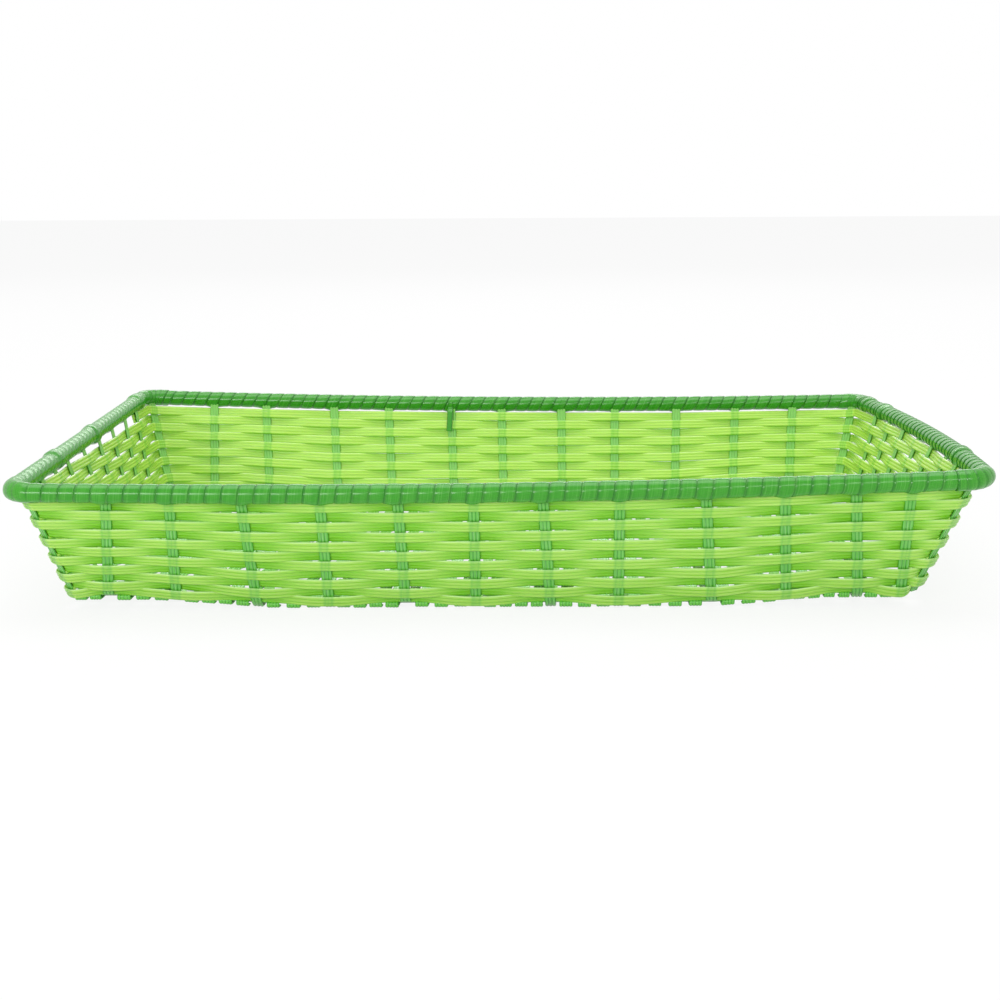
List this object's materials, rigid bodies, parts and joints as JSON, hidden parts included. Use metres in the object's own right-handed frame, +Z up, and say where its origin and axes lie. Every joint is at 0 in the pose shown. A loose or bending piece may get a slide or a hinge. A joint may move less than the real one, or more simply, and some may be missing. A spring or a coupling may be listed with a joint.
{
  "type": "woven storage basket",
  "caption": "Shallow rectangular tray basket of woven plastic strip, with flared walls and a wire rim wrapped in strip.",
  "frame": {"origin": "middle of the overall plan box, on the surface that the tray stands on", "axes": "+X along the length, +Y from the front wall to the rear wall, +Z up"},
  "size_m": [0.4563, 0.2994, 0.0688],
  "materials": {
    "weaver_strip": "translucent yellow-green ribbed strip, soft gloss",
    "stake_strip": "translucent bluish green ribbed strip, soft gloss",
    "base_strip": "dark green flat strip, soft gloss",
    "wrap_strip": "dark green flat strip, bright gloss",
    "rim_wire": "plain drawn wire"
  },
  "bodies": {
    "root": {"weaver_lap_01": "weaver_strip", "weaver_lap_02": "weaver_strip", "weaver_lap_03": "weaver_strip", "weaver_lap_04": "weaver_strip", "weaver_lap_05": "weaver_strip", "weaver_lap_06": "weaver_strip", "weaver_lap_07": "weaver_strip", "weaver_lap_08": "weaver_strip", "weaver_lap_09": "weaver_strip", "weaver_lap_10": "weaver_strip", "weaver_lap_11": "weaver_strip", "cross_stake_01": "stake_strip", "cross_stake_02": "stake_strip", "cross_stake_03": "stake_strip", "cross_stake_04": "stake_strip", "cross_stake_05": "stake_strip", "cross_stake_06": "stake_strip", "cross_stake_07": "stake_strip", "cross_stake_08": "stake_strip", "cross_stake_09": "stake_strip", "cross_stake_10": "stake_strip", "cross_stake_11": "stake_strip", "odd_stake": "stake_strip", "long_stake_01": "stake_strip", "long_stake_02": "stake_strip", "long_stake_03": "stake_strip", "long_stake_04": "stake_strip", "long_stake_05": "stake_strip", "long_stake_06": "stake_strip", "long_stake_07": "stake_strip", "long_stake_08": "stake_strip", "long_stake_09": "stake_strip", "base_edge_front": "stake_strip", "base_edge_rear": "stake_strip", "corner_stake_front_right": "stake_strip", "corner_stake_right_rear": "stake_strip", "corner_stake_rear_left": "stake_strip", "corner_stake_left_front": "stake_strip", "base_weft_01": "base_strip", "base_weft_02": "base_strip", "base_weft_03": "base_strip", "base_weft_04": "base_strip", "base_weft_05": "base_strip", "base_weft_06": "base_strip", "base_weft_07": "base_strip", "base_weft_08": "base_strip", "base_weft_09": "base_strip", "base_weft_10": "base_strip", "base_weft_11": "base_strip", "base_weft_12": "base_strip", "rim_wire": "rim_wire", "rim_wrap_front": "wrap_strip", "rim_wrap_right": "wrap_strip", "rim_wrap_rear": "wrap_strip", "rim_wrap_left": "wrap_strip", "rim_wrap_corner_front_right": "wrap_strip", "rim_wrap_corner_right_rear": "wrap_strip", "rim_wrap_corner_rear_left": "wrap_strip", "rim_wrap_corner_left_front": "wrap_strip", "wrap_tail": "wrap_strip"}
  },
  "joints": []
}
